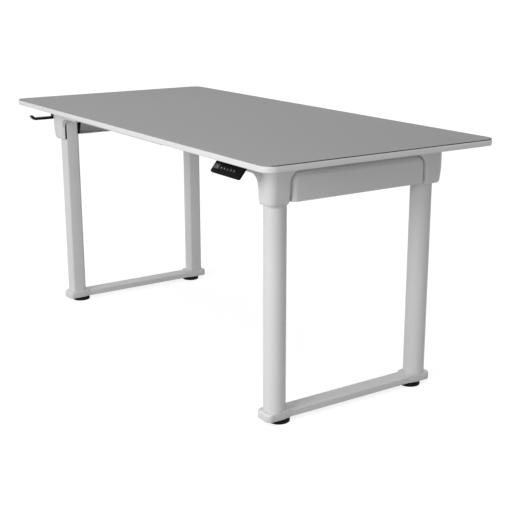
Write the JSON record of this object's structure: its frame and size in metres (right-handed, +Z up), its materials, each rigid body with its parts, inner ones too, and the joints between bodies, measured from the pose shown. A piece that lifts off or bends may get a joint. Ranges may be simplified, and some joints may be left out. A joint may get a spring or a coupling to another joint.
{
  "type": "height adjustable standing desk",
  "caption": "Long white-topped desk with a grey surface sheet on four telescopic round columns, with foot rails, end aprons, a tilted key handset and a side hook.",
  "frame": {"origin": "on the floor, under the middle of the top, with the desk at its lowest height", "axes": "+X along the length, towards the end with the handset; -Y to the user's side; +Z up"},
  "size_m": [1.6, 0.75, 0.73],
  "materials": {
    "white_melamine": "white melamine-faced board",
    "grey_surface_sheet": "fine felt-like matt grey",
    "pale_grey_powder_coat": "satin powder coat",
    "black_plastic": "fine-textured moulding",
    "black_painted_steel": "satin black",
    "bright_steel": "turned steel",
    "natural_nylon": "natural nylon",
    "display_window": "smoked window",
    "key_plastic": "soft-touch moulding",
    "circuit_board": "solder resist"
  },
  "bodies": {
    "left_base": {"foot_rail_left": "pale_grey_powder_coat", "outer_tube_front_left": "pale_grey_powder_coat", "glide_sleeve_front_left": "natural_nylon", "nut_tube_front_left": "bright_steel", "foot_cap_front_left": "pale_grey_powder_coat", "outer_tube_rear_left": "pale_grey_powder_coat", "glide_sleeve_rear_left": "natural_nylon", "nut_tube_rear_left": "bright_steel", "foot_cap_rear_left": "pale_grey_powder_coat"},
    "right_base": {"foot_rail_right": "pale_grey_powder_coat", "outer_tube_front_right": "pale_grey_powder_coat", "glide_sleeve_front_right": "natural_nylon", "nut_tube_front_right": "bright_steel", "foot_cap_front_right": "pale_grey_powder_coat", "outer_tube_rear_right": "pale_grey_powder_coat", "glide_sleeve_rear_right": "natural_nylon", "nut_tube_rear_right": "bright_steel", "foot_cap_rear_right": "pale_grey_powder_coat"},
    "lifting_frame": {"desktop_board": "white_melamine", "desktop_surface_sheet": "grey_surface_sheet", "inner_tube_front_left": "pale_grey_powder_coat", "gearbox_front_left": "black_plastic", "corner_bracket_front_left": "pale_grey_powder_coat", "crossbeam_front_left": "pale_grey_powder_coat", "inner_tube_rear_left": "pale_grey_powder_coat", "gearbox_rear_left": "black_plastic", "corner_bracket_rear_left": "pale_grey_powder_coat", "crossbeam_rear_left": "pale_grey_powder_coat", "inner_tube_front_right": "pale_grey_powder_coat", "gearbox_front_right": "black_plastic", "corner_bracket_front_right": "pale_grey_powder_coat", "crossbeam_front_right": "pale_grey_powder_coat", "inner_tube_rear_right": "pale_grey_powder_coat", "gearbox_rear_right": "black_plastic", "corner_bracket_rear_right": "pale_grey_powder_coat", "crossbeam_rear_right": "pale_grey_powder_coat", "end_apron_left": "pale_grey_powder_coat", "lift_motor_left": "black_painted_steel", "end_apron_right": "pale_grey_powder_coat", "lift_motor_right": "black_painted_steel", "control_box": "black_plastic", "control_circuit_board": "circuit_board", "handset_case": "black_plastic", "handset_display": "display_window", "headphone_hook": "black_painted_steel"},
    "drive_shaft_left": {"drive_shaft_left": "bright_steel"},
    "drive_shaft_right": {"drive_shaft_right": "bright_steel"},
    "lift_spindle_front_left": {"lift_spindle_front_left": "bright_steel"},
    "lift_spindle_rear_left": {"lift_spindle_rear_left": "bright_steel"},
    "lift_spindle_front_right": {"lift_spindle_front_right": "bright_steel"},
    "lift_spindle_rear_right": {"lift_spindle_rear_right": "bright_steel"},
    "levelling_foot_front_left": {"levelling_foot_front_left": "black_plastic"},
    "levelling_foot_rear_left": {"levelling_foot_rear_left": "black_plastic"},
    "levelling_foot_front_right": {"levelling_foot_front_right": "black_plastic"},
    "levelling_foot_rear_right": {"levelling_foot_rear_right": "black_plastic"},
    "handset_key_1": {"handset_key_1": "key_plastic"},
    "handset_key_2": {"handset_key_2": "key_plastic"},
    "handset_key_3": {"handset_key_3": "key_plastic"},
    "handset_key_4": {"handset_key_4": "key_plastic"},
    "handset_key_5": {"handset_key_5": "key_plastic"}
  },
  "joints": [
    {"name": "desk_lift", "type": "slide", "parent": "left_base", "child": "lifting_frame", "axis": [0, 0, 1], "range_m": [0, 0.46]},
    {"name": "right_leg_slide", "type": "slide", "parent": "lifting_frame", "child": "right_base", "axis": [0, 0, -1], "range_m": [0, 0.46]},
    {"name": "drive_shaft_left_spin", "type": "hinge", "parent": "lifting_frame", "child": "drive_shaft_left", "pos_m": [-0.642, 0.004, 0.692], "axis": [0, 1, 0], "range_deg": [0, 10350.5]},
    {"name": "drive_shaft_right_spin", "type": "hinge", "parent": "lifting_frame", "child": "drive_shaft_right", "pos_m": [0.642, 0.004, 0.692], "axis": [0, 1, 0], "range_deg": [0, 10350.5]},
    {"name": "lift_spindle_front_left_spin", "type": "hinge", "parent": "lifting_frame", "child": "lift_spindle_front_left", "pos_m": [-0.642, -0.2425, 0.68], "axis": [0, 0, 1], "range_deg": [0, 10350.5]},
    {"name": "lift_spindle_rear_left_spin", "type": "hinge", "parent": "lifting_frame", "child": "lift_spindle_rear_left", "pos_m": [-0.642, 0.2505, 0.68], "axis": [0, 0, 1], "range_deg": [-10350.5, 0]},
    {"name": "lift_spindle_front_right_spin", "type": "hinge", "parent": "lifting_frame", "child": "lift_spindle_front_right", "pos_m": [0.642, -0.2425, 0.68], "axis": [0, 0, 1], "range_deg": [0, 10350.5]},
    {"name": "lift_spindle_rear_right_spin", "type": "hinge", "parent": "lifting_frame", "child": "lift_spindle_rear_right", "pos_m": [0.642, 0.2505, 0.68], "axis": [0, 0, 1], "range_deg": [-10350.5, 0]},
    {"name": "levelling_foot_front_left_screw", "type": "slide", "parent": "left_base", "child": "levelling_foot_front_left", "axis": [0, 0, -1], "range_m": [0, 0.01]},
    {"name": "levelling_foot_rear_left_screw", "type": "slide", "parent": "left_base", "child": "levelling_foot_rear_left", "axis": [0, 0, -1], "range_m": [0, 0.01]},
    {"name": "levelling_foot_front_right_screw", "type": "slide", "parent": "right_base", "child": "levelling_foot_front_right", "axis": [0, 0, -1], "range_m": [0, 0.01]},
    {"name": "levelling_foot_rear_right_screw", "type": "slide", "parent": "right_base", "child": "levelling_foot_rear_right", "axis": [0, 0, -1], "range_m": [0, 0.01]},
    {"name": "key_1_press", "type": "slide", "parent": "lifting_frame", "child": "handset_key_1", "axis": [0, 0.7787, -0.6274], "range_m": [0, 0.001], "stiffness_N_per_m": 300},
    {"name": "key_2_press", "type": "slide", "parent": "lifting_frame", "child": "handset_key_2", "axis": [0, 0.7787, -0.6274], "range_m": [0, 0.001], "stiffness_N_per_m": 300},
    {"name": "key_3_press", "type": "slide", "parent": "lifting_frame", "child": "handset_key_3", "axis": [0, 0.7787, -0.6274], "range_m": [0, 0.001], "stiffness_N_per_m": 300},
    {"name": "key_4_press", "type": "slide", "parent": "lifting_frame", "child": "handset_key_4", "axis": [0, 0.7787, -0.6274], "range_m": [0, 0.001], "stiffness_N_per_m": 300},
    {"name": "key_5_press", "type": "slide", "parent": "lifting_frame", "child": "handset_key_5", "axis": [0, 0.7787, -0.6274], "range_m": [0, 0.001], "stiffness_N_per_m": 300}
  ],
  "couplings": [
    {"joint": "right_leg_slide", "follows": "desk_lift", "ratio": 1},
    {"joint": "drive_shaft_left_spin", "follows": "desk_lift", "rad_per_m": 392.7},
    {"joint": "drive_shaft_right_spin", "follows": "desk_lift", "rad_per_m": 392.7},
    {"joint": "lift_spindle_front_left_spin", "follows": "desk_lift", "rad_per_m": 392.7},
    {"joint": "lift_spindle_rear_left_spin", "follows": "desk_lift", "rad_per_m": -392.7},
    {"joint": "lift_spindle_front_right_spin", "follows": "desk_lift", "rad_per_m": 392.7},
    {"joint": "lift_spindle_rear_right_spin", "follows": "desk_lift", "rad_per_m": -392.7}
  ]
}
